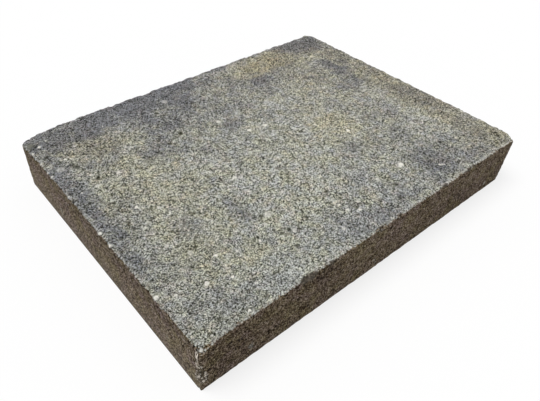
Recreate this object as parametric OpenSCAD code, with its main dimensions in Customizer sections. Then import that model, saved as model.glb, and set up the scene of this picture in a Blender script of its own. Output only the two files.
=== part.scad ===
// Concrete paving stone, pressed in one piece, in millimetres.
// The origin is the middle of the bed face, X runs along the length, and the walked-on face looks up +Z.

/* [Stone] */
// Length of the stone
stone_length = 400; // [200:1:600]
// Width of the stone
stone_width = 300; // [150:1:500]
// Thickness from the bed face to the walked-on face
stone_thickness = 52; // [35:0.5:100]

/* [Edges] */
// Radius of the arris that runs round the walked-on face
arris_radius = 1.5; // [0.5:0.25:4]
// Leg of the small chamfer that runs round the bed face
bed_chamfer = 0.5; // [0.25:0.25:4]

/* [Upright corners] */
// Radius of the front left corner
front_left_radius = 2; // [1:0.5:12]
// Radius of the front right corner
front_right_radius = 8; // [1:0.5:12]
// Radius of the back left corner
back_left_radius = 8; // [1:0.5:12]
// Radius of the back right corner
back_right_radius = 5; // [1:0.5:12]

/* [Worn corners] */
// Front left corner: wear along the length, wear along the width, drop of the tip
front_left_wear = [18, 11, 8]; // [1:0.5:60]
// Front right corner: wear along the length, wear along the width, drop of the tip
front_right_wear = [16, 15, 4.5]; // [1:0.5:60]
// Back left corner: wear along the length, wear along the width, drop of the tip
back_left_wear = [34, 50, 5.5]; // [1:0.5:60]
// Back right corner: wear along the length, wear along the width, drop of the tip
back_right_wear = [10, 10, 2]; // [1:0.5:60]

/* [Chipped edges] */
// Large chip in the front edge: place along X, length along the edge, reach in from the edge
front_large_chip = [-98, 18, 3.5]; // [-150:0.5:150]
// Middle chip in the front edge: place along X, length along the edge, reach in from the edge
front_middle_chip = [77, 12, 1.8]; // [-150:0.5:150]
// Long chip in the front edge: place along X, length along the edge, reach in from the edge
front_long_chip = [116, 24, 2]; // [-150:0.5:150]
// Chip in the left edge: place along Y, length along the edge, reach in from the edge
left_chip = [-104, 13, 2.5]; // [-120:0.5:120]

/* [Hidden] */
$fn = 64;
// Each corner: its side along X, its side along Y, its radius and its wear
corners = [
    [-1, -1, front_left_radius, front_left_wear],
    [1, -1, front_right_radius, front_right_wear],
    [-1, 1, back_left_radius, back_left_wear],
    [1, 1, back_right_radius, back_right_wear],
];
front_chips = [front_large_chip, front_middle_chip, front_long_chip];
left_chips = [left_chip];

// Where the sharp corner of the outline is
function corner_point(corner) = [corner[0] * stone_length / 2, corner[1] * stone_width / 2];

// Outline of the stone seen from above, with its upright corners rounded
module stone_outline() {
    difference() {
        square([stone_length, stone_width], center = true);
        for (corner = corners)
            translate(corner_point(corner))
                square(2 * corner[2], center = true);
    }
    for (corner = corners)
        translate(corner_point(corner) - corner[2] * [corner[0], corner[1]])
            circle(corner[2]);
}

// Section of the stone across one span: chamfered along the bed, rounded along the walked-on face
module stone_section(span) {
    half = span / 2;
    arris_base = stone_thickness - arris_radius;
    polygon([
        [bed_chamfer - half, 0],
        [half - bed_chamfer, 0],
        [half, bed_chamfer],
        [half, arris_base],
        [half - arris_radius, arris_base],
        [half - arris_radius, stone_thickness],
        [arris_radius - half, stone_thickness],
        [arris_radius - half, arris_base],
        [-half, arris_base],
        [-half, bed_chamfer],
    ]);
    for (side = [-1, 1])
        translate([side * (half - arris_radius), arris_base])
            circle(arris_radius);
}

// The stone as it leaves the mould: its outline, cut to the same section along the length and the width
module moulded_stone() {
    intersection() {
        linear_extrude(stone_thickness)
            stone_outline();
        rotate([90, 0, 90])
            linear_extrude(stone_length, center = true)
                stone_section(stone_width);
        rotate([90, 0, 0])
            linear_extrude(stone_width, center = true)
                stone_section(stone_length);
    }
}

// What is worn off one corner: all that lies beyond the plane through the ends of its wear.
// The sharp corner is at the origin, with the stone towards +X, +Y and -Z.
module worn_off(wear) {
    outward = [-1 / wear.x, -1 / wear.y, 1 / wear.z];
    tilt = acos(outward.z / norm(outward));
    heading = atan2(outward.y, outward.x);
    reach = 2 * norm(wear);
    translate([0, 0, -wear.z])
        rotate([0, tilt, heading])
            translate([-reach, -reach, 0])
                cube([2 * reach, 2 * reach, reach]);
}

// What is chipped off an edge along X, with the stone towards +Y and -Z: a ball that reaches as far in
// over the walked-on face as down the side, and meets the edge over the length of the chip.
module chipped_off(chip) {
    half_length = chip[1] / 2;
    reach = chip[2];
    stand_off = (half_length ^ 2 - reach ^ 2) / (sqrt(2) * reach);
    translate([chip[0], -stand_off / sqrt(2), stand_off / sqrt(2)])
        sphere(norm([half_length, stand_off]));
}

module paving_stone() {
    color("#85837a")
        difference() {
            moulded_stone();
            for (corner = corners)
                translate([each corner_point(corner), stone_thickness])
                    mirror([corner[0] > 0 ? 1 : 0, 0, 0])
                        mirror([0, corner[1] > 0 ? 1 : 0, 0])
                            worn_off(corner[3]);
            translate([0, -stone_width / 2, stone_thickness])
                for (chip = front_chips)
                    chipped_off(chip);
            translate([-stone_length / 2, 0, stone_thickness])
                rotate([0, 0, 90])
                    mirror([0, 1, 0])
                        for (chip = left_chips)
                            chipped_off(chip);
        }
}

paving_stone();
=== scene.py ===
"""The looks of a pressed concrete paving stone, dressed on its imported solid. Lengths are in metres."""

import math

import bpy
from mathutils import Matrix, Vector


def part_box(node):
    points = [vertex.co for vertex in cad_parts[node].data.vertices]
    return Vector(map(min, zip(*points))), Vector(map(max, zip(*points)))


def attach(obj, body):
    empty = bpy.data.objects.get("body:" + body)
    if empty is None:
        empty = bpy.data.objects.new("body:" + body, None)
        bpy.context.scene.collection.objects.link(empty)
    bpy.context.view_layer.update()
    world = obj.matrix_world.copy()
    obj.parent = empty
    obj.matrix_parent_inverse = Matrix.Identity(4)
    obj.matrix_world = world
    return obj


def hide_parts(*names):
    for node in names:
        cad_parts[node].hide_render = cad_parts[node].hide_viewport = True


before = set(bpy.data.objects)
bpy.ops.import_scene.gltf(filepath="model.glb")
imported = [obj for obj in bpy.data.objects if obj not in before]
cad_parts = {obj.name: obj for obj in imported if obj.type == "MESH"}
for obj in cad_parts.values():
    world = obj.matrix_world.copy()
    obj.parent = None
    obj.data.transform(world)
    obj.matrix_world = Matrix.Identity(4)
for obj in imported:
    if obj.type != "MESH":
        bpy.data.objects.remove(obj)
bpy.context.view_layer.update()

# The moulded stone, with the sizes that the solid has
stone_low, stone_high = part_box("paving_stone")
LENGTH, WIDTH, THICKNESS = stone_high - stone_low
MM = 0.001
ARRIS_RADIUS = 1.5 * MM
BED_CHAMFER = 0.5 * MM

# Each upright corner: its side along X, its side along Y, its radius, and its wear along X, along Y and down
CORNERS = [
    (-1, -1, 2 * MM, (18 * MM, 11 * MM, 8 * MM)),
    (1, -1, 8 * MM, (16 * MM, 15 * MM, 4.5 * MM)),
    (-1, 1, 8 * MM, (34 * MM, 50 * MM, 5.5 * MM)),
    (1, 1, 5 * MM, (10 * MM, 10 * MM, 2 * MM)),
]

# Chips in the arris: place along the edge, length along the edge, reach in from the edge.
# The solid has the first three in front and the first on the left. The smaller ones are only here.
FRONT_CHIPS = [
    (-98 * MM, 18 * MM, 3.5 * MM),
    (77 * MM, 12 * MM, 1.8 * MM),
    (116 * MM, 24 * MM, 2 * MM),
    (-73 * MM, 12 * MM, 1.5 * MM),
    (-13 * MM, 7 * MM, 3 * MM),
    (11 * MM, 6 * MM, 2.5 * MM),
    (146 * MM, 8 * MM, 1 * MM),
]
LEFT_CHIPS = [
    (-104 * MM, 13 * MM, 2.5 * MM),
    (-59 * MM, 8 * MM, 1.2 * MM),
    (19 * MM, 8 * MM, 1.8 * MM),
    (37 * MM, 8 * MM, 1.8 * MM),
]

# Soft patches on the walked-on face in millimetres: place along X and Y, radius along X and Y, strength.
# A strength below 0 is where the face is lighter, or less tan.
CHARCOAL_AND_SHADE_PATCHES = [
    (-85, 140, 40, 26, 0.7),
    (-28, 142, 38, 26, 0.65),
    (-140, 128, 34, 22, 0.6),
    (-40, 104, 26, 22, 0.4),
    (-78, 88, 24, 28, 0.35),
    (25, 118, 30, 22, 0.12),
    (-72, 122, 20, 16, 0.2),
    (-100, 52, 20, 20, 0.3),
    (-190, 122, 26, 24, 0.5),
    (-196, 45, 18, 46, 0.55),
    (-195, -30, 14, 50, 0.45),
    (72, 97, 20, 16, 0.4),
    (128, 60, 14, 22, 0.35),
    (158, 62, 12, 30, 0.5),
    (150, 28, 24, 12, 0.35),
    (165, 138, 34, 24, 0.6),
    (-92, -60, 18, 24, 0.34),
    (-50, -76, 40, 24, -0.08),
    (48, -58, 34, 28, 0.14),
    (68, -72, 22, 18, 0.12),
    (25, -97, 22, 16, 0.2),
    (97, -113, 30, 24, 0.5),
    (-33, -120, 34, 18, 0.2),
    (25, -120, 22, 18, 0.1),
    (10, -138, 60, 12, 0.3),
    (110, -73, 18, 18, 0.25),
    (-17, 47, 16, 14, 0.25),
    (-147, 60, 14, 12, 0.25),
    (-137, -50, 14, 14, 0.25),
    (185, 0, 24, 140, 0.28),
    (-186, 146, 22, 10, 0.4),
    # Painted shade along the back edge, whose arris the lamp lights
    (-20, 151, 200, 7, 0.3),
    (-178, 0, 26, 130, 0.12),
    (-150, 78, 44, 26, 0.15),
    (110, -140, 60, 16, 0.2),
    (66, -18, 24, 30, -0.35),
    (-20, -55, 60, 40, -0.22),
    (-100, -100, 60, 40, -0.12),
    (90, 122, 40, 18, -0.1),
    (0, 135, 260, 90, 0.2),
    (180, 118, 24, 24, 0.2),
    (178, -30, 22, 22, 0.2),
    (0, -128, 200, 26, 0.08),
    (-190, -140, 50, 50, 0.2),
    (150, -120, 50, 36, 0.16),
    (-40, 40, 80, 40, 0.08),
    (120, 0, 40, 40, 0.08),
    (0, 78, 220, 26, 0.08),
    (-75, 25, 30, 24, 0.1),
    (75, 28, 30, 24, 0.1),
    (125, -50, 24, 50, 0.14),
]
TAN_PATCHES = [
    (90, 122, 48, 24, 0.9),
    (65, -20, 26, 34, 0.45),
    (186, -20, 28, 140, 0.6),
    (150, 120, 50, 40, 0.4),
    (-140, 20, 50, 80, 0.3),
    (-145, 95, 34, 22, 0.5),
    (-150, -80, 50, 50, 0.2),
    (110, 60, 30, 40, 0.3),
    (-170, 120, 40, 30, 0.25),
    (170, -130, 40, 24, 0.35),
    (-20, -135, 160, 22, -0.4),
]
# Where fine dust lies between the grains and evens them out, in the same form
DUSTY_PATCHES = [(-165, -118, 110, 80, 0.75)]
# Smudges on the front side, and painted shade below the large front chip: place along X and Z, radius along
# X and Z, strength
FRONT_SMUDGES_AND_SHADE = [
    (-130, 10, 90, 14, -0.1),
    (-178, 26, 40, 40, 0.14),
    # Painted shade below the large front chip
    (-88, 43, 22, 11, 0.42),
    (105, 12, 44, 18, 0.2),
    (10, 30, 60, 34, -0.16),
    (150, 30, 30, 40, -0.08),
]

# Single marks in millimetres: place along X, Y and Z, radius, and strength
# Pale stones in the concrete, brightened to carry painted glints
PALE_SPECKS_AND_GLINTS = [
    (-10, 25, 52, 2.4, 1.0),
    (9, 22, 52, 2.4, 0.9),
    (71, -36, 52, 2.4, 1.0),
    (135, -67, 52, 2.6, 0.6),
    (33, -106, 52, 1.8, 0.7),
    (-4, -115, 52, 2.2, 0.6),
    (-11, -123, 52, 1.8, 0.8),
    (-19, -117, 52, 2.0, 0.6),
    (-39, -130, 52, 2.0, 0.6),
    (-73, -107, 52, 2.2, 0.6),
    (-85, -106, 52, 1.6, 0.7),
    (-78, -80, 52, 3.4, 0.6),
    (-87, -87, 52, 2.2, 0.6),
    (-124, -96, 52, 1.8, 0.6),
    (-69, -25, 52, 2.4, 0.8),
    (-65, -28, 52, 2.2, 0.6),
    (-25, 56, 52, 2.6, 0.8),
    (-48, 122, 52, 3.2, 0.4),
    (-160, -5, 52, 1.8, 0.8),
    (-165, -58, 52, 2.0, 0.6),
    (-172, 40, 52, 2.2, 0.6),
    (68, -105, 52, 2.6, 1.0),
    (65, -107, 52, 1.8, 1.0),
    (97, -128, 52, 1.8, 0.8),
    (100, -129, 52, 1.3, 0.7),
    (102, -130, 52, 1.3, 0.7),
    (-162, -107, 52, 2.2, 0.9),
    (-143, -114, 52, 1.5, 1.0),
    (-103, -99, 52, 1.5, 0.9),
    (-140, -89, 52, 1.9, 1.0),
    (-186, -102, 52, 1.4, 0.8),
    (-153, -145, 52, 1.5, 0.9),
    (-134, -147, 51, 1.4, 0.7),
    (-100, -143, 50, 1.4, 0.7),
    (-133, -129, 52, 1.4, 0.6),
    (-154, -75, 52, 2.8, 0.4),
    (-145, -17, 52, 2.0, 0.7),
    (-178, 92, 52, 1.8, 0.9),
    (-175, 94, 52, 1.5, 0.7),
    (-188, 80, 52, 4.0, 0.3),
    (-162, 106, 52, 1.4, 0.6),
    (-189, 127, 51, 2.0, 0.8),
    (-149, 45, 52, 2.2, 0.7),
    (-199, -13, 51, 1.9, 0.9),
    (-199, -30, 51, 1.7, 0.9),
    (-198, -95, 51, 2.2, 1.0),
    (-198, 121, 50, 1.6, 0.8),
    (-199, 84, 51, 1.8, 0.7),
    (-199, 76, 51, 1.9, 0.8),
    (-199, 42, 51, 1.6, 0.7),
    (-196, -146, 46, 1.5, 1.0),
    (-193, -145, 48, 1.3, 0.9),
    (165, -150, 10, 2.8, 0.5),
    (-154, -150, 15, 3.0, 0.35),
    (-153, -150, 11, 2.0, 0.3),
    (-12, -150, 12, 2.0, 0.35),
    (-9, -150, 7, 1.8, 0.35),
    (-200, 71, 15, 2.5, 0.35),
    (-200, 71, 11, 2.0, 0.3),
    (-200, -109, 20, 2.0, 0.25),
]
# Pits and cracks, dug into the mesh and darkened with painted shade
PITS_WITH_PAINTED_SHADE = [
    (-161, -87, 52, 2.0, 0.9),
    (-132, -125, 52, 1.8, 0.8),
    (-174, -137, 52, 1.8, 0.8),
    (-186, -143, 51, 2.0, 0.8),
    (-186, -121, 52, 1.8, 0.6),
    (-82, -120, 52, 2.2, 1.0),
    (-83, -77, 52, 2.2, 1.0),
    (-83, -103, 52, 2.0, 0.6),
    (-68, -108, 52, 1.8, 0.8),
    (-54, -101, 52, 2.2, 0.7),
    (-108, -106, 52, 1.8, 0.9),
    (-11, -119, 52, 2.0, 0.8),
    (-17, -89, 52, 2.2, 0.8),
    (-28, -38, 52, 2.2, 0.9),
    (-12, 5, 52, 2.6, 0.7),
    (-113, -43, 52, 2.0, 0.8),
    (-102, 48, 52, 3.0, 0.7),
    (-147, -72, 52, 2.0, 0.9),
    (-156, -71, 52, 1.7, 0.9),
    (-158, -63, 52, 1.6, 1.0),
    (-163, -104, 52, 1.8, 0.8),
    (-172, 12, 52, 2.2, 0.9),
    (-174, -26, 52, 1.8, 0.8),
    (-188, -28, 52, 2.2, 0.8),
    (-175, -18, 52, 1.8, 0.8),
    # Painted shadow beside the pebble at the back left corner
    (-197, 129, 49, 1.8, 1.0),
    (-194, 128, 50, 1.8, 1.0),
    (-191, 130, 50, 1.8, 0.9),
    (-189, 133, 50, 1.6, 0.7),
    (-183, 91, 52, 1.8, 0.8),
    (-186, 89, 52, 1.8, 0.8),
    (-191, 106, 52, 2.4, 1.0),
    (-174, 76, 52, 2.6, 1.0),
    (-135, 145, 52, 2.0, 0.8),
    (-78, 146, 52, 2.2, 0.9),
    (-67, 108, 52, 2.6, 1.0),
    (-68, 63, 52, 3.0, 1.0),
    (-86, 55, 52, 2.8, 1.0),
    (-128, 40, 52, 1.8, 0.8),
    (-196, 78, 52, 1.6, 0.8),
    (-167, 50, 52, 2.8, 1.0),
    (-188, 24, 52, 1.8, 0.8),
    (-134, 63, 52, 1.8, 0.8),
    (101, -125, 52, 1.6, 1.0),
    (104, -126, 52, 1.8, 1.0),
    (107, -125, 52, 1.6, 1.0),
    (191, -131, 51, 2.4, 1.0),
    (188, -129, 51, 2.0, 0.8),
    (130, -106, 52, 2.2, 1.0),
    (40, -120, 52, 2.0, 0.8),
    (-20, -150, 18, 2.2, 1.0),
    (-16, -150, 14, 2.0, 1.0),
    (157, -150, 30, 2.6, 1.0),
    (-102, -150, 18, 2.2, 1.0),
    (-99, -150, 15, 2.0, 1.0),
    (-136, -150, 17, 2.0, 1.0),
    (-132, -150, 14, 1.8, 1.0),
    (24, -150, 14, 1.8, 0.8),
    (36, -150, 20, 1.6, 0.7),
    (96, -150, 22, 2.0, 0.8),
    (135, -150, 30, 1.6, 0.7),
    (92, -150, 38, 1.8, 0.8),
    (-200, 113, 45, 2.0, 0.8),
    (-200, -64, 16, 2.0, 0.8),
    (-200, -111, 12, 1.6, 0.7),
]
# The pebble that stands out at the back left corner
PEBBLES = [(-195, 134, 49, 4.0, 1.0)]

# How fully a chip shows broken concrete, darkened with painted shade: fully in front, where the chips face
# away from the lamp, and less on the left, which faces it
FRONT_CHIP_PAINTED_SHADE = 1.0
LEFT_CHIP_PAINTED_SHADE = 0.3

# Widths in millimetres: first of the relief in the mesh, then of the grains in the material
LUMP_WIDTH = 9.0
SWELL_WIDTH = 60.0
PEBBLE_WIDTH = 6.5
GRAIN_WIDTH = 4.2
PIT_SPACING = 10.0
SILT_WIDTH = 0.6
DUST_WIDTH = 0.9
SAND_WIDTH = 1.5
PORE_SPACING = 1.7
GRAVEL_WIDTH = 2.3
GRIT_WIDTH = 3.2
CLOT_WIDTH = 7.0
HOLE_SPACING = 5.0

# The outlines of single marks: how wide their ragged teeth are, and how far those reach
TOOTH_WIDTH = 1.2
TOOTH_REACH = 2.5

# Colours in linear light
BUFF = (0.385, 0.391, 0.356)
YELLOW_BUFF = (0.391, 0.389, 0.293)
CHARCOAL = (0.168, 0.171, 0.172)
# Pale stone, bright enough for painted glints
PALE_STONE_AND_GLINT = (0.90, 0.88, 0.81)
OLIVE_PEBBLE = (0.19, 0.19, 0.16)
BROWN = (0.145, 0.107, 0.052)
REDDISH_BROWN = (0.147, 0.101, 0.071)
# Broken concrete, darkened with painted shade
BROKEN_GREY_AND_SHADE = (0.085, 0.078, 0.068)
# Painted light from the floor, low on the left side
LEFT_LOW_PAINTED_LIGHT = (0.172, 0.152, 0.130)
CRUMB_SHADOW = (0.06, 0.05, 0.035)
RUBBED_CREAM = (0.86, 0.78, 0.68)
FLOOR_GREY = (0.7, 0.7, 0.7)
WHITE = (1.0, 1.0, 1.0)

# Tints, which another colour is multiplied by
TAN_TINT = (1.02, 0.95, 0.80)
ROSY_TINT = (1.035, 0.975, 0.96)
COOL_TINT = (0.975, 0.99, 1.04)
NEAR_TINT = (0.992, 1.003, 1.0)
FAR_TINT = (1.014, 0.998, 0.99)
# Painted shade high on the left side
LEFT_TOP_PAINTED_SHADE = (0.74, 0.74, 0.75)

# The shade of the grains: its lowest value, its level, and how much red, green and blue follow it
DARKEST_SHADE = 0.05
FACE_LEVEL = 1.09
FACE_POWERS = (1.0, 1.0, 1.09)
SIDE_LEVEL = 1.02
SIDE_POWERS = (0.88, 1.0, 1.2)

# The studio: the floor, how much of the shadow shows on it, and the light
FLOOR_SIZE = 40.0
FLOOR_GAP = 0.3 * MM
SHADOW_SHARE = 0.25
AMBIENT_LEVEL = 0.35
LAMP_LEVEL = 0.65
LAMP_SPREAD = math.radians(35)
TOWARDS_LAMP = Vector((-0.31, 0.15, 0.90)).normalized()


class Field:
    """A value that changes over the stone: a socket, with arithmetic that adds Math nodes."""

    def __init__(self, graph, socket):
        self.graph = graph
        self.socket = socket

    def math(self, operation, *others):
        return self.graph.math(operation, self, *others)

    def __add__(self, other):
        return self.math("ADD", other)

    def __radd__(self, other):
        return self.math("ADD", other)

    def __sub__(self, other):
        return self.math("SUBTRACT", other)

    def __rsub__(self, other):
        return self.graph.math("SUBTRACT", other, self)

    def __mul__(self, other):
        return self.math("MULTIPLY", other)

    def __rmul__(self, other):
        return self.math("MULTIPLY", other)

    def __abs__(self):
        return self.math("ABSOLUTE")

    def least(self, other):
        return self.math("MINIMUM", other)

    def most(self, other):
        return self.math("MAXIMUM", other)

    def share(self):
        """The value, kept between 0 and 1."""
        return self.most(0.0).least(1.0)


class Graph:
    """A node tree and the ways of adding nodes to it."""

    def __init__(self, tree):
        self.tree = tree

    def add(self, kind, settings=None, values=None, output=0):
        """Adds a node: its settings first, then a value or a link for each named socket."""
        node = self.tree.nodes.new(kind)
        for name, setting in (settings or {}).items():
            setattr(node, name, setting)
        for name, value in (values or {}).items():
            self.plug(self.find(node.inputs, name), value)
        return None if output is None else Field(self, self.find(node.outputs, output))

    @staticmethod
    def find(sockets, name):
        """A socket by its number, or by its name among those that the node's settings leave in use."""
        if isinstance(name, int):
            return sockets[name]
        return next(socket for socket in sockets if socket.name == name and socket.enabled)

    def plug(self, socket, value):
        if isinstance(value, Field):
            self.tree.links.new(value.socket, socket)
        elif socket.type == "RGBA":
            socket.default_value = (*value, 1.0)
        else:
            socket.default_value = value

    def output(self, field, name):
        """Another output of the node that a field comes from."""
        return Field(self, self.find(field.socket.node.outputs, name))

    def math(self, operation, *operands):
        return self.add("ShaderNodeMath", {"operation": operation}, dict(enumerate(operands)))

    def vector(self, operation, *operands, output=0):
        return self.add("ShaderNodeVectorMath", {"operation": operation}, dict(enumerate(operands)), output)

    def scaled(self, vector, factor):
        return self.add("ShaderNodeVectorMath", {"operation": "SCALE"}, {"Vector": vector, "Scale": factor})

    def parts(self, vector):
        first = self.add("ShaderNodeSeparateXYZ", {}, {0: vector})
        return [first, self.output(first, "Y"), self.output(first, "Z")]

    def joined(self, *values):
        return self.add("ShaderNodeCombineXYZ", {}, dict(enumerate(values)))

    def rise(self, value, start, end):
        """0 where the value is at start, 1 where it is at end, with a smooth slope between."""
        # A smooth step keeps to 0 and 1 by itself, and a clamp on every mark is more than Cycles can hold.
        settings = {"interpolation_type": "SMOOTHSTEP", "clamp": False}
        return self.add("ShaderNodeMapRange", settings, {"Value": value, "From Min": start, "From Max": end})

    def noise(self, place, size, detail=2.0, output=0):
        """Cloudy noise from 0 to 1, with patches about as wide as size."""
        values = {"Vector": place, "Scale": 1 / size, "Detail": detail}
        return self.add("ShaderNodeTexNoise", {}, values, output)

    def ripple(self, place, size, detail=2.0):
        """The same noise about 0, from -0.5 to 0.5."""
        return self.noise(place, size, detail) - 0.5

    def grains(self, place, size):
        """Packed grains about as wide as size: the distance from a grain's middle, and its three numbers."""
        values = {"Vector": place, "Scale": 1 / size}
        distance = self.add("ShaderNodeTexVoronoi", {"feature": "F1"}, values, "Distance")
        return distance, self.parts(self.output(distance, "Color"))

    def gaps(self, place, size):
        """The same grains: the distance from the gap between them."""
        values = {"Vector": place, "Scale": 1 / size}
        return self.add("ShaderNodeTexVoronoi", {"feature": "DISTANCE_TO_EDGE"}, values, "Distance")

    def wander(self, place, size, reach, detail=2.0):
        """The place, moved about by noise, so that what is drawn there gets a ragged outline."""
        shift = self.vector("SUBTRACT", self.noise(place, size, detail, "Color"), (0.5, 0.5, 0.5))
        return self.vector("ADD", place, self.scaled(shift, reach))

    def patches(self, place, marks):
        """Soft round patches, added up where they meet."""
        total = 0.0
        for x, y, radius_x, radius_y, strength in marks:
            away = self.vector("SUBTRACT", place, (x, y, 0.0))
            away = self.vector("MULTIPLY", away, (1 / radius_x, 1 / radius_y, 0.0))
            total = total + strength * self.rise(self.vector("LENGTH", away, output="Value"), 1.4, 0.2)
        return total

    def spots(self, place, marks):
        """Small marks, each a place, a radius and a strength."""
        nearest = 0.0
        for x, y, z, radius, strength in marks:
            away = self.vector("DISTANCE", place, (x, y, z), output="Value")
            nearest = (strength * self.rise(away, 1.2 * radius, 0.65 * radius)).most(nearest)
        return nearest

    def mix(self, factor, first, second, blend="MIX"):
        """One colour laid over another by a factor."""
        settings = {"data_type": "RGBA", "blend_type": blend}
        return self.add("ShaderNodeMix", settings, {"Factor": factor, "A": first, "B": second}, "Result")

    def shaded(self, colour, shade, powers=(1.0, 1.0, 1.0)):
        """A colour times a shade, with a power of the shade for red, green and blue."""
        tone = self.joined(*(shade.math("POWER", power) for power in powers))
        return self.mix(1.0, colour, tone, "MULTIPLY")


def only(piece):
    """Selects one object and makes it the active one."""
    bpy.ops.object.select_all(action="DESELECT")
    piece.select_set(True)
    bpy.context.view_layer.objects.active = piece


def select_edges(piece, chosen):
    """Goes into edit mode with just the edges selected whose two ends pass the test."""
    only(piece)
    bpy.ops.object.mode_set(mode="EDIT")
    bpy.ops.mesh.select_mode(type="EDGE")
    bpy.ops.mesh.select_all(action="DESELECT")
    bpy.ops.object.mode_set(mode="OBJECT")
    points = piece.data.vertices
    for edge in piece.data.edges:
        edge.select = chosen(*(points[index].co for index in edge.vertices))
    bpy.ops.object.mode_set(mode="EDIT")


def bevel_edges(piece, chosen, size, segments):
    select_edges(piece, chosen)
    bpy.ops.mesh.bevel(offset=size, segments=segments, affect="EDGES")
    bpy.ops.object.mode_set(mode="OBJECT")


def apply_modifier(piece, kind, **settings):
    only(piece)
    bpy.ops.object.modifier_add(type=kind)
    modifier = piece.modifiers[-1]
    for name, setting in settings.items():
        setattr(modifier, name, setting)
    bpy.ops.object.modifier_apply(modifier=modifier.name)


def chip_balls():
    """The ball that each chip is cut with: its middle, and its radius."""
    balls = []
    up = Vector((0, 0, 1))
    edges = [
        (Vector((0, -1, 0)), Vector((1, 0, 0)), WIDTH / 2, FRONT_CHIPS),
        (Vector((-1, 0, 0)), Vector((0, 1, 0)), LENGTH / 2, LEFT_CHIPS),
    ]
    for outward, along, distance, chips in edges:
        for place, length, reach in chips:
            half = length / 2
            stand_off = (half**2 - reach**2) / (math.sqrt(2) * reach)
            edge_point = outward * distance + along * place + up * THICKNESS
            middle = edge_point + (outward + up) * stand_off / math.sqrt(2)
            balls.append((middle, math.hypot(half, stand_off)))
    return balls


def mould_stone():
    """The stone as it left the mould: rounded upright corners and arris, and a chamfer round the bed."""
    bpy.ops.object.select_all(action="DESELECT")
    middle = (stone_low + stone_high) / 2
    bpy.ops.mesh.primitive_cube_add(size=1.0, location=middle, scale=(LENGTH, WIDTH, THICKNESS))
    stone = bpy.context.active_object
    stone.name = "weathered_paving_stone"
    bpy.ops.object.transform_apply(location=True, rotation=True, scale=True)

    near = 0.1 * MM
    for side_x, side_y, radius, _ in CORNERS:
        corner = Vector((side_x * LENGTH / 2, side_y * WIDTH / 2))
        bevel_edges(
            stone,
            lambda a, b: max((a.xy - corner).length, (b.xy - corner).length) < near,
            radius,
            segments=6,
        )
    bevel_edges(stone, lambda a, b: min(a.z, b.z) > THICKNESS - near, ARRIS_RADIUS, segments=4)
    bevel_edges(stone, lambda a, b: max(a.z, b.z) < near, BED_CHAMFER, segments=1)
    return stone


def wear_corners(stone):
    """Cuts each corner of the walked-on face off along the plane that it is worn down to."""
    only(stone)
    bpy.ops.object.mode_set(mode="EDIT")
    for side_x, side_y, _, wear in CORNERS:
        tip = Vector((side_x * LENGTH / 2, side_y * WIDTH / 2, THICKNESS - wear[2]))
        outward = Vector((side_x / wear[0], side_y / wear[1], 1 / wear[2])).normalized()
        bpy.ops.mesh.select_all(action="SELECT")
        bpy.ops.mesh.bisect(plane_co=tip, plane_no=outward, use_fill=True, clear_outer=True)
    bpy.ops.object.mode_set(mode="OBJECT")


def chip_edges(stone):
    for centre, radius in chip_balls():
        bpy.ops.mesh.primitive_uv_sphere_add(segments=48, ring_count=24, radius=radius, location=centre)
        ball = bpy.context.active_object
        apply_modifier(stone, "BOOLEAN", operation="DIFFERENCE", solver="EXACT", object=ball)
        bpy.data.objects.remove(ball)


def mesh_finely(stone):
    """An even mesh, about 1.6 mm wide and fine enough for the relief, but coarse on the flat bed."""
    apply_modifier(
        stone,
        "REMESH",
        mode="SHARP",
        octree_depth=8,
        scale=0.99,
        sharpness=1.0,
        use_remove_disconnected=False,
        use_smooth_shade=True,
    )
    flat_down = -0.99
    bpy.ops.object.mode_set(mode="EDIT")
    bpy.ops.mesh.select_mode(type="FACE")
    bpy.ops.mesh.select_all(action="DESELECT")
    bpy.ops.object.mode_set(mode="OBJECT")
    for face in stone.data.polygons:
        face.select = face.normal.z < flat_down
    bpy.ops.object.mode_set(mode="EDIT")
    bpy.ops.mesh.unsubdivide(iterations=4)
    bpy.ops.object.mode_set(mode="OBJECT")


def broken_edges(graph, place):
    """1 where a front chip bares broken concrete and less on the left, so that painted shade darkens the
    front chips most; with a crumbled outline.
    """
    broken_and_shade = 0.0
    crumbled = graph.wander(place, 4.0, 6.0)
    for centre, radius in chip_balls():
        away = graph.vector("DISTANCE", crumbled, centre / MM, output="Value") - radius / MM
        chip_shade = FRONT_CHIP_PAINTED_SHADE if centre.y < -WIDTH / 2 else LEFT_CHIP_PAINTED_SHADE
        broken_and_shade = broken_and_shade + chip_shade * graph.rise(away, 0.7, -0.3)
    return broken_and_shade


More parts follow.
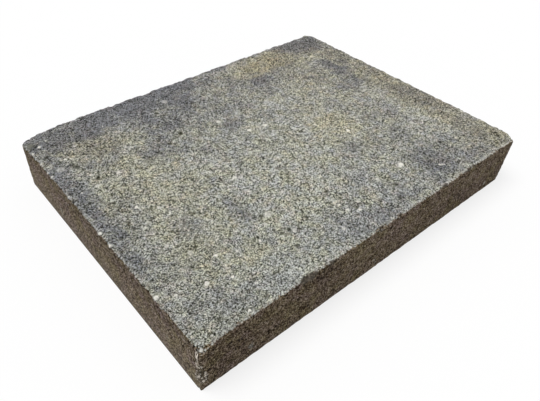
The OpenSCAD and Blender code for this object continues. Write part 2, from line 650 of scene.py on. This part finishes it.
def weather_stone(stone):
    """Rough relief in millimetres: lumps, stones and pits, less on the sides, and bitten arrises."""
    graph = Graph(bpy.data.node_groups.new("weathering", "GeometryNodeTree"))
    for way in ("INPUT", "OUTPUT"):
        graph.tree.interface.new_socket("Geometry", in_out=way, socket_type="NodeSocketGeometry")
    shape = graph.add("NodeGroupInput")
    place = graph.scaled(graph.add("GeometryNodeInputPosition"), 1 / MM)
    normal = graph.add("GeometryNodeInputNormal")
    facing = graph.parts(normal)[2]
    walked = graph.rise(facing, 0.15, 0.75)
    side = 1 - graph.rise(abs(facing), 0.15, 0.75)
    arris = graph.rise(facing, 0.05, 0.5) * (1 - graph.rise(facing, 0.8, 0.995))

    lumps = graph.ripple(place, LUMP_WIDTH, detail=1.0)
    swell = graph.ripple(place, SWELL_WIDTH, detail=1.0)
    pebble_distance = graph.grains(graph.wander(place, 5.0, 4.0), PEBBLE_WIDTH)[0]
    grain_distance = graph.grains(place, GRAIN_WIDTH)[0]
    domes = 0.7 * (0.25 - pebble_distance * pebble_distance) + (0.25 - grain_distance * grain_distance)
    pit_distance, pit_numbers = graph.grains(place, PIT_SPACING)
    pits = graph.rise(pit_distance, 0.24, 0.05) * graph.rise(pit_numbers[0], 0.55, 0.65)
    ragged = graph.wander(place, TOOTH_WIDTH, TOOTH_REACH)
    marks = 0.5 * graph.spots(ragged, PALE_SPECKS_AND_GLINTS) - 1.2 * graph.spots(ragged, PITS_WITH_PAINTED_SHADE)
    marks = marks + 1.6 * graph.spots(place, PEBBLES)
    top_relief = 0.6 * lumps + 0.9 * swell + 1.1 * domes - 1.1 * pits
    side_relief = 0.5 * lumps + 0.6 * domes - 0.8 * pits
    bites = (graph.noise(place, 6.0, detail=3.0) - 0.48).most(0.0) * 9.0
    height = walked * top_relief + side * side_relief - arris * bites + marks

    for name, value in (("walked", facing), ("broken_and_shade", broken_edges(graph, place))):
        shape = graph.add(
            "GeometryNodeStoreNamedAttribute",
            {"data_type": "FLOAT", "domain": "POINT"},
            {"Geometry": shape, "Name": name, "Value": value},
        )
    step = graph.scaled(normal, height * MM)
    moved = graph.add("GeometryNodeSetPosition", {}, {"Geometry": shape, "Offset": step})
    graph.add("NodeGroupOutput", {}, {"Geometry": moved}, output=None)
    apply_modifier(stone, "NODES", node_group=graph.tree)


class Batch:
    """What the face and the sides share: places on the stone, the grains of its concrete, and its marks."""

    def __init__(self, graph):
        self.place = graph.scaled(graph.add("ShaderNodeTexCoord", {}, {}, "Object"), 1 / MM)
        self.across, self.along, self.level = graph.parts(self.place)
        self.from_left = self.across + LENGTH / 2 / MM
        self.from_front = self.along + WIDTH / 2 / MM
        self.wandered = graph.wander(self.place, 18.0, 36.0, detail=3.0)
        self.ragged = graph.wander(self.place, TOOTH_WIDTH, TOOTH_REACH)

        self.silt = graph.grains(self.place, SILT_WIDTH)[1]
        self.dust_distance, self.dust = graph.grains(self.place, DUST_WIDTH)
        self.sand_distance, self.sand = graph.grains(self.place, SAND_WIDTH)
        self.gravel_distance, self.gravel = graph.grains(self.place, GRAVEL_WIDTH)
        self.grit_distance, self.grit = graph.grains(self.place, GRIT_WIDTH)
        self.sand_gap = graph.rise(graph.gaps(self.place, SAND_WIDTH), 0.0, 0.16)
        self.grit_gap = graph.rise(graph.gaps(self.place, GRIT_WIDTH), 0.0, 0.1)
        # Grains lighter in the middle and darker at their edge: their own tone, with painted shade round the
        # edge
        self.domes = 1.2 * (0.55 - self.sand_distance) + 1.4 * (0.55 - self.gravel_distance)
        self.clots = graph.ripple(self.place, CLOT_WIDTH)
        pore_distance, pore = graph.grains(self.place, PORE_SPACING)
        self.pores = graph.rise(pore_distance, 0.38, 0.22) * graph.rise(pore[0], 0.68, 0.72)
        # Pale specks, with painted glints
        self.pale = graph.spots(self.ragged, PALE_SPECKS_AND_GLINTS)
        # Painted shade in the pits
        self.pit_shade = graph.spots(self.ragged, PITS_WITH_PAINTED_SHADE)


def mottled_colour(graph, batch):
    """The walked-on face without its grain: buff and charcoal mixed in patches, painted shade along the back
    edge, and tan in some.
    """
    place = batch.place
    tan = graph.patches(batch.wandered, TAN_PATCHES)
    cloud = 1.1 * graph.ripple(place, 30.0) + graph.ripple(place, 11.0)
    dither = 0.4 * (batch.sand[1] - 0.5) + 0.3 * (batch.grit[1] - 0.5)
    charcoal_and_shade = 0.1 + 1.4 * graph.patches(batch.wandered, CHARCOAL_AND_SHADE_PATCHES) + cloud + dither
    yellowing = 0.5 + 1.5 * graph.ripple(place, 25.0) + 3.0 * graph.ripple(place, 8.0) + 0.5 * tan
    face = graph.mix(yellowing.share(), BUFF, YELLOW_BUFF)
    face = graph.mix(charcoal_and_shade.share(), face, CHARCOAL)
    face = graph.mix(tan.share(), face, TAN_TINT, "MULTIPLY")
    for tint, aside in ((ROSY_TINT, (500.0, 0.0, 0.0)), (COOL_TINT, (0.0, 500.0, 0.0))):
        tinged = graph.rise(graph.noise(graph.vector("ADD", place, aside), 8.0), 0.5, 0.7)
        face = graph.mix(tinged, face, tint, "MULTIPLY")
    far_end = graph.rise(batch.across + batch.along, -260.0, 260.0)
    return graph.mix(1.0, face, graph.mix(far_end, NEAR_TINT, FAR_TINT), "MULTIPLY")


def walked_face(graph, batch):
    """The mottled face with its grains, painted shade in its gaps, pores and pits, pale flecks along its
    edges, and pale specks with painted glints.
    """
    dusty = graph.patches(batch.wandered, DUSTY_PATCHES)
    grain = (batch.sand[0] - 0.5) + 0.25 * (batch.grit[0] - 0.5) + 0.15 * batch.clots + 0.9 * batch.domes
    grain = grain * (1 - dusty) + 2.7 * (batch.dust[0] - 0.5) * (1 - 0.5 * dusty)
    grain = grain + (batch.silt[0] - 0.5) * (2.0 + 1.6 * dusty)
    shade = (1.0 + grain).math("SMOOTH_MIN", 2.1, 0.4)
    # Painted shade in the gaps between the grains, in the pores and in the pits
    shade = shade * (0.7 + 0.3 * batch.sand_gap) * (0.9 + 0.1 * batch.grit_gap)
    shade = shade * (1 - 0.5 * batch.pores) * (1 - 0.75 * batch.pit_shade)
    shade = shade.most(DARKEST_SHADE) * FACE_LEVEL
    face = graph.shaded(mottled_colour(graph, batch), shade, FACE_POWERS)

    speck = graph.rise(batch.grit[2], 0.98, 0.985) * graph.rise(batch.grit_distance, 0.4, 0.25)
    front_rim = graph.rise(batch.from_front, 5.0, 1.5) * graph.rise(batch.sand[1], 0.4, 0.6)
    front_rim = front_rim * (0.25 + 0.3 * graph.rise(batch.across, 30.0, 90.0))
    left_rim = graph.rise(batch.from_left, 4.0, 1.0) * graph.rise(batch.sand[1], 0.75, 0.85)
    flecks = (0.6 * speck).most(front_rim).most(0.35 * left_rim)
    face = graph.mix(graph.spots(batch.place, PEBBLES), face, OLIVE_PEBBLE)
    return graph.mix(flecks.most(batch.pale), face, graph.shaded(PALE_STONE_AND_GLINT, 0.8 + 0.3 * batch.dust[1]))


def brown_sides(graph, batch, broken_and_shade):
    """The plain brown sides with smudges and grey chips, painted shade in holes, pits, chips and high on the
    left, and painted floor light low on the left.
    """
    place = batch.place
    hole_distance, hole = graph.grains(batch.ragged, HOLE_SPACING)
    hole_shade = graph.rise(hole_distance, 0.3, 0.12) * graph.rise(hole[0], 0.55, 0.6)
    blotches = graph.ripple(place, 24.0, detail=3.0)
    front_place = graph.joined(batch.across, batch.level)
    smudges_and_shade = graph.rise(batch.from_front, 3.0, 1.0) * graph.patches(front_place, FRONT_SMUDGES_AND_SHADE)
    shade = 1.0 + 3.0 * (batch.silt[0] - 0.5) + 4.0 * (batch.dust[0] - 0.5)
    shade = shade + 1.8 * (batch.sand[0] - 0.5) + 0.8 * (batch.grit[0] - 0.5)
    shade = shade + 1.2 * batch.domes + 0.8 * batch.clots + 0.8 * blotches - 1.6 * smudges_and_shade
    # Painted shade in the gaps between the grains, in the pores, the holes and the pits
    shade = shade * (0.65 + 0.35 * batch.sand_gap) * (1 - 0.5 * batch.pores)
    shade = shade * (1 - 0.65 * hole_shade) * (1 - 0.85 * batch.pit_shade)
    shade = shade.most(DARKEST_SHADE) * SIDE_LEVEL

    redness = 0.5 + 2.0 * graph.ripple(place, 16.0) + 1.6 * graph.ripple(place, 7.0)
    sides = graph.mix(redness.share(), BROWN, REDDISH_BROWN)
    sides = graph.shaded(sides, shade, SIDE_POWERS)
    # Broken grey in the chips, with painted shade
    sides = graph.mix(0.7 * broken_and_shade, sides, BROKEN_GREY_AND_SHADE)
    # Painted shade high on the left side, and painted light from the floor low on it
    left = graph.rise(batch.from_left, 2.0, 0.5)
    sides = graph.mix(left * graph.rise(batch.level, 24.0, 44.0), sides, LEFT_TOP_PAINTED_SHADE, "MULTIPLY")
    return graph.mix(0.3 * left * graph.rise(batch.level, 44.0, 0.0), sides, LEFT_LOW_PAINTED_LIGHT)


def rubbed_corner(graph, batch, sides):
    """The sides with the upright front corner rubbed: a pale line high up, and crumbs lower down with
    painted shadow among them.
    """
    from_corner = graph.vector("LENGTH", graph.joined(batch.from_left, batch.from_front), output="Value")
    from_line = graph.vector("LENGTH", graph.joined(batch.from_left, batch.from_front - 4.0), output="Value")
    line = graph.rise(from_line, 1.8, 0.8) * graph.rise(batch.level, 26.0, 32.0)
    spread = 4.5 * graph.rise(batch.level, 32.0, 14.0)
    rubble = graph.rise(from_corner - spread, 3.0, 1.5)
    rubble = rubble * graph.rise(batch.level, 8.0, 12.0) * graph.rise(batch.level, 36.0, 32.0)
    crumbs = graph.rise(batch.gravel[1], 0.3, 0.4) * graph.rise(batch.gravel_distance, 0.6, 0.45)
    rubbed = (line * graph.rise(batch.sand[1], 0.2, 0.35)).most(rubble * crumbs)
    sides = graph.mix(0.6 * rubble, sides, CRUMB_SHADOW)
    return graph.mix(rubbed, sides, graph.shaded(RUBBED_CREAM, 0.45 + 0.7 * batch.sand[2]))


def blank_graph(owner):
    """The empty node tree of a material or a world."""
    owner.use_nodes = True
    owner.node_tree.nodes.clear()
    return Graph(owner.node_tree)


def concrete():
    """The concrete of the whole stone: the walked-on face and the sides, with a ragged line between."""
    material = bpy.data.materials.new("weathered_concrete")
    graph = blank_graph(material)
    batch = Batch(graph)
    walked = graph.add("ShaderNodeAttribute", {"attribute_name": "walked"}, {}, "Fac")
    broken_and_shade = graph.add("ShaderNodeAttribute", {"attribute_name": "broken_and_shade"}, {}, "Fac").least(1.0)

    face = walked_face(graph, batch)
    sides = rubbed_corner(graph, batch, brown_sides(graph, batch, broken_and_shade))
    fringe = 0.8 * graph.ripple(batch.place, 3.5) + 0.5 * (batch.sand[1] - 0.5)
    # The front arris faces away from the lamp: painted shade gives it the brown of the sides
    front_arris_shade = 0.3 * graph.rise(batch.from_front, 4.0, 2.0)
    top = graph.rise(walked + fringe - front_arris_shade, 0.45, 0.65) * (1 - broken_and_shade)
    colour = graph.mix(top.most(batch.pale), sides, face)

    height = 0.15 * (0.5 - batch.dust_distance) + 0.3 * (0.5 - batch.sand_distance)
    height = height + 0.12 * (0.5 - batch.grit_distance)
    height = height + 0.15 * batch.sand_gap + 0.1 * batch.grit_gap - 0.3 * batch.pores
    bump = graph.add("ShaderNodeBump", {}, {"Strength": 1.0, "Distance": MM, "Height": height})
    roughness = 0.84 + 0.14 * batch.dust[1] + 0.02 * batch.sand_gap
    surface = graph.add(
        "ShaderNodeBsdfPrincipled",
        {},
        {"Base Color": colour, "Roughness": roughness, "Specular IOR Level": 0.15, "Normal": bump},
    )
    graph.add("ShaderNodeOutputMaterial", {}, {"Surface": surface}, output=None)
    return material


def seen_directly(graph):
    """1 for what the camera sees, straight or in a gloss or through glass."""
    camera_ray = graph.add("ShaderNodeLightPath", {}, {}, "Is Camera Ray")
    glossy_ray = graph.output(camera_ray, "Is Glossy Ray")
    return camera_ray.most(glossy_ray).most(graph.output(camera_ray, "Is Transmission Ray"))


def make_floor():
    """A pale floor that the camera sees as white, with a share of the shadow's depth."""
    bpy.ops.object.select_all(action="DESELECT")
    bpy.ops.mesh.primitive_plane_add(size=FLOOR_SIZE, location=(0, 0, -FLOOR_GAP))
    floor = bpy.context.active_object
    floor.name = "studio_floor"
    material = bpy.data.materials.new("pale_floor")
    graph = blank_graph(material)
    seen = seen_directly(graph)
    matt = graph.add("ShaderNodeBsdfDiffuse", {}, {"Color": graph.mix(seen, FLOOR_GREY, WHITE)})
    glow = graph.add("ShaderNodeEmission", {}, {"Color": WHITE, "Strength": 1.0})
    surface = graph.add("ShaderNodeMixShader", {}, {0: seen * (1 - SHADOW_SHARE), 1: matt, 2: glow})
    graph.add("ShaderNodeOutputMaterial", {}, {"Surface": surface}, output=None)
    floor.data.materials.append(material)


def light_studio():
    """Even light all round, and one large soft lamp high on the left."""
    world = bpy.data.worlds.new("white_studio")
    graph = blank_graph(world)
    ambient = graph.add("ShaderNodeBackground", {}, {"Color": WHITE, "Strength": AMBIENT_LEVEL})
    white = graph.add("ShaderNodeBackground", {}, {"Color": WHITE, "Strength": 1.0})
    surface = graph.add("ShaderNodeMixShader", {}, {0: seen_directly(graph), 1: ambient, 2: white})
    graph.add("ShaderNodeOutputWorld", {}, {"Surface": surface}, output=None)
    bpy.context.scene.world = world

    bpy.ops.object.light_add(type="SUN", location=TOWARDS_LAMP)
    lamp = bpy.context.active_object
    lamp.name = "soft_lamp"
    lamp.rotation_euler = TOWARDS_LAMP.to_track_quat("Z", "Y").to_euler()
    lamp.data.energy = LAMP_LEVEL / TOWARDS_LAMP.z * math.pi
    lamp.data.angle = LAMP_SPREAD


def place_camera():
    """The camera at the photograph's place, with its lens and its framing."""
    bpy.ops.object.camera_add(
        location=(-0.3008, -0.3001, 0.3480),
        rotation=[math.radians(turn) for turn in (46.59, -1.18, -38.85)],
    )
    camera = bpy.context.active_object
    camera.name = "photo_camera"
    camera.data.lens = 34.16
    camera.data.sensor_width = 36.0
    camera.data.shift_x = 0.0688
    camera.data.shift_y = 0.0232
    camera.data.clip_start = 0.01
    bpy.context.scene.camera = camera


stone = mould_stone()
wear_corners(stone)
chip_edges(stone)
mesh_finely(stone)
weather_stone(stone)
stone.data.materials.clear()
stone.data.materials.append(concrete())
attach(stone, "root")
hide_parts("paving_stone")

make_floor()
light_studio()
place_camera()
bpy.context.scene.view_settings.view_transform = "Standard"
